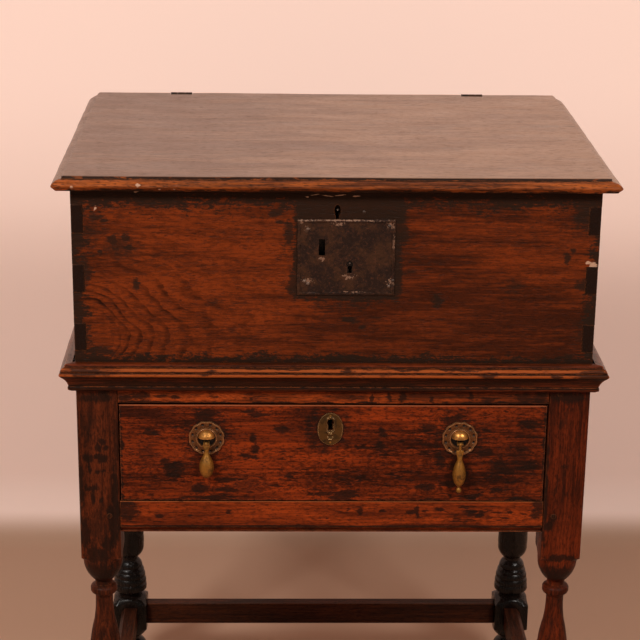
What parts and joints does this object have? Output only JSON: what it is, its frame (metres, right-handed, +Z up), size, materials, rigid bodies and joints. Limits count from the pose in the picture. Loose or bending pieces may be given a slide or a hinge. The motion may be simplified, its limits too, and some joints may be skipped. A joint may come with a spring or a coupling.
{
  "type": "bible box on stand",
  "caption": "Oak bible box with a moulded lid on strap hinges, on a joined stand with a drawer, brass drop pulls, turned legs and box stretchers.",
  "frame": {"origin": "on the floor, in the middle of the plan of the whole object", "axes": "+Z up, -Y towards the front with the drawer, +X to the right of someone who faces the front"},
  "size_m": [0.6496, 0.4763, 0.8678],
  "materials": {
    "oak_lid": "old waxed oak, worn and dusty",
    "oak_box": "old waxed oak, reddish brown with dark stains",
    "oak_stand": "old waxed oak, worn lighter on the mouldings",
    "oak_drawer_front": "old waxed oak, reddish brown with dark flecks",
    "oak_bare": "unfinished old oak",
    "iron": "forged iron, dark brown with age",
    "brass": "old cast brass, dull in the hollows"
  },
  "bodies": {
    "stand": {"back_apron": "oak_stand", "back_batten": "oak_stand", "back_left_leg": "oak_stand", "back_right_leg": "oak_stand", "back_stretcher": "oak_stand", "bottom_front_rail": "oak_stand", "box_back_board": "oak_box", "box_bottom_board": "oak_bare", "box_front_board": "oak_box", "box_left_side": "oak_box", "box_lock_bolt": "iron", "box_lock_case": "iron", "box_right_side": "oak_box", "drawer_stops": "oak_bare", "front_left_leg": "oak_stand", "front_moulding": "oak_stand", "front_right_leg": "oak_stand", "front_stretcher": "oak_stand", "iron_lock_case": "iron", "iron_lock_nails": "iron", "iron_lock_plate": "iron", "joint_pegs": "oak_stand", "left_apron": "oak_stand", "left_box_leaf": "iron", "left_box_leaf_nails": "iron", "left_hinge_pin": "iron", "left_moulding": "oak_stand", "left_runner": "oak_bare", "left_stretcher": "oak_stand", "right_apron": "oak_stand", "right_box_leaf": "iron", "right_box_leaf_nails": "iron", "right_hinge_pin": "iron", "right_moulding": "oak_stand", "right_runner": "oak_bare", "right_stretcher": "oak_stand", "top_front_rail": "oak_stand"},
    "lid": {"lid": "oak_lid", "left_lid_leaf": "iron", "right_lid_leaf": "iron", "left_lid_leaf_nails": "iron", "right_lid_leaf_nails": "iron", "lid_link_plate": "iron"},
    "drawer": {"drawer_back_board": "oak_bare", "drawer_bottom_board": "oak_bare", "drawer_front": "oak_drawer_front", "drawer_left_side": "oak_bare", "drawer_lock_bolt": "iron", "drawer_lock_case": "iron", "drawer_right_side": "oak_bare", "left_rosette": "brass", "right_rosette": "brass", "left_cotter": "brass", "right_cotter": "brass", "escutcheon": "brass", "escutcheon_pins": "brass"},
    "left_drop": {"left_drop": "brass"},
    "right_drop": {"right_drop": "brass"},
    "iron_lock_bolt": {"iron_lock_bolt": "iron"}
  },
  "joints": [
    {"name": "lid_hinge", "type": "hinge", "parent": "stand", "child": "lid", "pos_m": [0, 0.23375, 0.8634], "axis": [-1, 0, 0], "range_deg": [0, 100]},
    {"name": "drawer_slide", "type": "slide", "parent": "stand", "child": "drawer", "axis": [0, -1, 0], "range_m": [0, 0.3]},
    {"name": "left_drop_swing", "type": "hinge", "parent": "drawer", "child": "left_drop", "pos_m": [-0.1515, -0.22735, 0.5395], "axis": [-1, 0, 0], "range_deg": [0, 75]},
    {"name": "right_drop_swing", "type": "hinge", "parent": "drawer", "child": "right_drop", "pos_m": [0.1515, -0.22735, 0.5395], "axis": [-1, 0, 0], "range_deg": [0, 75]},
    {"name": "iron_lock_bolt_slide", "type": "slide", "parent": "stand", "child": "iron_lock_bolt", "axis": [-1, 0, 0], "range_m": [0, 0.015]}
  ]
}
